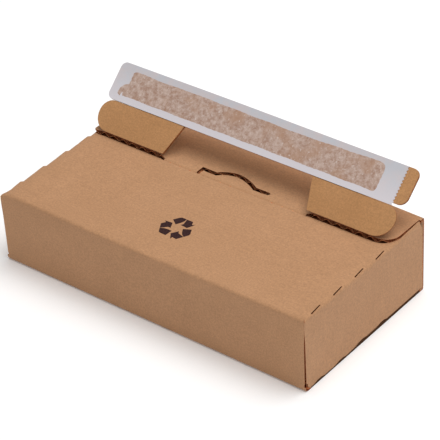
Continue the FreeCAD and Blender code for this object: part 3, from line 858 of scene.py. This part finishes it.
def whitePaper(name, cool, warm, pale, grainMm):
    # Siliconised glassine: thin and smooth, a little see-through, with faint cool and warm clouds
    material, tree, shader = newMaterial(name, {"Roughness": 0.42, "IOR": 1.45, "Specular IOR Level": 0.4})
    where = addNode(tree, "ShaderNodeTexCoord")
    cloud = addNode(tree, "ShaderNodeTexNoise",
                    {"Scale": 1 / (grainMm * mm), "Detail": 4.0, "Roughness": 0.6},
                    {"Vector": (where, "Object")})
    shade = addNode(tree, "ShaderNodeValToRGB", links={"Fac": (cloud, "Fac")})
    shade.color_ramp.elements[0].position, shade.color_ramp.elements[1].position = 0.38, 0.62
    shade.color_ramp.elements[0].color = linearColour(cool)
    shade.color_ramp.elements[1].color = linearColour(warm)
    place = addNode(tree, "ShaderNodeSeparateXYZ", links={"Vector": (where, "Object")})
    low, high = paperHeights()
    rise = addNode(tree, "ShaderNodeMapRange", {"From Min": low * mm, "From Max": high * mm, "To Min": 1.0,
                                                "To Max": 0.0}, {"Value": (place, "Z")})
    tone = addNode(tree, "ShaderNodeMix", {"data_type": "RGBA", 7: linearColour(pale)},
                   {0: (rise, "Result"), 6: (shade, "Color")})
    tree.links.new(tone.outputs[2], shader.inputs["Base Color"])
    bump = addNode(tree, "ShaderNodeBump", {"Strength": 0.25, "Distance": 0.1 * mm},
                   {"Height": (cloud, "Fac")})
    tree.links.new(bump.outputs["Normal"], shader.inputs["Normal"])
    return material


def paperHeights():
    # where the pale lower margin begins and ends, as heights above the floor
    angle = math.radians(flap["angle"])
    low = flap["hingeZ"] + (flap["tabHeight"] + 1.5) * math.sin(angle)
    return low, low + flap["stripWidth"] * 0.85 * math.sin(angle)


def wettedPaper(name):
    # The same paper where the adhesive wets it: brown shows through in fine mottles, with pale specks
    material, tree, shader = newMaterial(name, {"Roughness": 0.38, "IOR": 1.47, "Specular IOR Level": 0.45})
    where = addNode(tree, "ShaderNodeTexCoord")
    mottle = addNode(tree, "ShaderNodeTexNoise",
                     {"Scale": 1 / (2.2 * mm), "Detail": 6.0, "Roughness": 0.75},
                     {"Vector": (where, "Object")})
    patch = addNode(tree, "ShaderNodeTexNoise", {"Scale": 1 / (13 * mm), "Detail": 2.0},
                    {"Vector": (where, "Object")})
    shade = addNode(tree, "ShaderNodeValToRGB", links={"Fac": (mottle, "Fac")})
    ramp = shade.color_ramp
    ramp.elements[0].position, ramp.elements[1].position = 0.36, 0.64
    ramp.elements[0].color = linearColour("#a3806d")
    ramp.elements[1].color = linearColour("#ccb6aa")
    # wetter patches are browner and smoother
    wet = addNode(tree, "ShaderNodeMapRange",
                  {"From Min": 0.5, "From Max": 0.66, "To Min": 0.0, "To Max": 0.75},
                  {"Value": (patch, "Fac")})
    tone = addNode(tree, "ShaderNodeMix", {"data_type": "RGBA", 7: linearColour("#b28c73")},
                   {0: (wet, "Result"), 6: (shade, "Color")})
    speck = addNode(tree, "ShaderNodeTexNoise", {"Scale": 1 / (1.2 * mm), "Detail": 2.0},
                    {"Vector": (where, "Object")})
    dry = addNode(tree, "ShaderNodeMapRange",
                  {"From Min": 0.62, "From Max": 0.74, "To Min": 0.0, "To Max": 0.7},
                  {"Value": (speck, "Fac")})
    specked = addNode(tree, "ShaderNodeMix", {"data_type": "RGBA", 7: linearColour("#dcd0c9")},
                      {0: (dry, "Result"), 6: (tone, 2)})
    tree.links.new(specked.outputs[2], shader.inputs["Base Color"])
    bump = addNode(tree, "ShaderNodeBump", {"Strength": 0.4, "Distance": 0.15 * mm},
                   {"Height": (mottle, "Fac")})
    tree.links.new(bump.outputs["Normal"], shader.inputs["Normal"])
    return material


def onPaper(x, s, height):
    return onFlap(x, s, flap["thickness"] + height)


paperMesh = newMesh()
paperGrid = (spaced(-flap["stripHalf"], flap["stripHalf"], 3), spaced(flap["tabHeight"], 40, 3))
glue = glueLoop()
addSheet(paperMesh, [refined(paperLoop(), 1.5), glue], paperGrid, onPaper,
         (paper["thickness"], 0.02), (0, 0, 0), keepOff=0.3)
addSheet(paperMesh, [glue], paperGrid, onPaper, (paper["thickness"], 0.13), (1, 0, 0), keepOff=0.3)
dryPaper = whitePaper("glassineRelease", "#c3c4ca", "#cbc3c5", "#dad5da", 7.0)
releaseLiner = meshObject("releaseLiner", paperMesh, [dryPaper, wettedPaper("glassineOverAdhesive")])
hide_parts("release_liner")
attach(releaseLiner, "flap")

# The adhesive stays the frame's own solid, under the paper
hotMelt, meltTree, meltShader = newMaterial("hotMelt", {"Roughness": 0.35, "IOR": 1.48,
                                                        "Subsurface Weight": 0.1})
meltWhere = addNode(meltTree, "ShaderNodeTexCoord")
meltNoise = addNode(meltTree, "ShaderNodeTexNoise", {"Scale": 1 / (2 * mm), "Detail": 3.0},
                    {"Vector": (meltWhere, "Object")})
meltShade = addNode(meltTree, "ShaderNodeValToRGB", links={"Fac": (meltNoise, "Fac")})
meltShade.color_ramp.elements[0].color = linearColour("#b08a5a")
meltShade.color_ramp.elements[1].color = linearColour("#d6b483")
meltTree.links.new(meltShade.outputs["Color"], meltShader.inputs["Base Color"])
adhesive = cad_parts["adhesive_strip"]
adhesive.data.materials.clear()
adhesive.data.materials.append(hotMelt)
print("flap dressed")

# Floor, light and camera

studio = {
    "floorHalf": 3.0, "floorColour": "#ffffff", "skyColour": "#ffffff",
    "skyStrength": 0.415, "floorGlow": 0.05,
    "keyPlace": (0.35, 0.25, 1.6), "keySize": 1.3, "keyPower": 21.7,
}
floorMaterial, floorTree, floorShader = newMaterial("paleFloor", {"Roughness": 0.9,
                                                                  "Specular IOR Level": 0.2})
floorShader.inputs["Base Color"].default_value = linearColour(studio["floorColour"])
floorShader.inputs["Emission Color"].default_value = linearColour(studio["skyColour"])
floorShader.inputs["Emission Strength"].default_value = studio["floorGlow"]
half = studio["floorHalf"]
floorData = bpy.data.meshes.new("floor")
floorData.from_pydata([(-half, -half, 0), (half, -half, 0), (half, half, 0), (-half, half, 0)], [],
                      [(0, 1, 2, 3)])
floorData.materials.append(floorMaterial)
floor = bpy.data.objects.new("floor", floorData)
bpy.context.scene.collection.objects.link(floor)

world = bpy.data.worlds.new("studioSky")
bpy.context.scene.world = world
world.use_nodes = True
sky = world.node_tree.nodes["Background"]
sky.inputs["Color"].default_value = linearColour(studio["skyColour"])
sky.inputs["Strength"].default_value = studio["skyStrength"]


def softBox(name, place, size, power):
    light = bpy.data.lights.new(name, "AREA")
    light.size = size
    light.energy = power
    lamp = bpy.data.objects.new(name, light)
    lamp.location = place
    lamp.rotation_mode = "QUATERNION"
    lamp.rotation_quaternion = (-Vector(place)).to_track_quat("-Z", "Y")
    bpy.context.scene.collection.objects.link(lamp)


softBox("keyLight", studio["keyPlace"], studio["keySize"], studio["keyPower"])
bpy.context.scene.view_settings.view_transform = "Standard"

# The photograph's view, worked out from the box's corners in its 440 pixel frame
photoView = {
    "place": (0.53512, -0.63111, 0.59796), "azimuth": 39.909, "elevation": 34.348, "roll": -3.187,
    "focalPixels": 2014.4, "framePixels": 440, "sensorMm": 36.0,
}
azimuth, elevation, roll = (math.radians(photoView[k]) for k in ("azimuth", "elevation", "roll"))
back = Vector((math.sin(azimuth) * math.cos(elevation), -math.cos(azimuth) * math.cos(elevation),
               math.sin(elevation)))
right = Vector((math.cos(azimuth), math.sin(azimuth), 0))
up = back.cross(right)
turnedRight = right * math.cos(roll) + up * math.sin(roll)
turnedUp = up * math.cos(roll) - right * math.sin(roll)
cameraData = bpy.data.cameras.new("photoCamera")
cameraData.sensor_width = photoView["sensorMm"]
cameraData.lens = photoView["focalPixels"] / photoView["framePixels"] * photoView["sensorMm"]
camera = bpy.data.objects.new("photoCamera", cameraData)
camera.matrix_world = Matrix.Translation(photoView["place"]) @ Matrix(
    (turnedRight, turnedUp, back)).transposed().to_4x4()
bpy.context.scene.collection.objects.link(camera)
bpy.context.scene.camera = camera
print("studio ready")
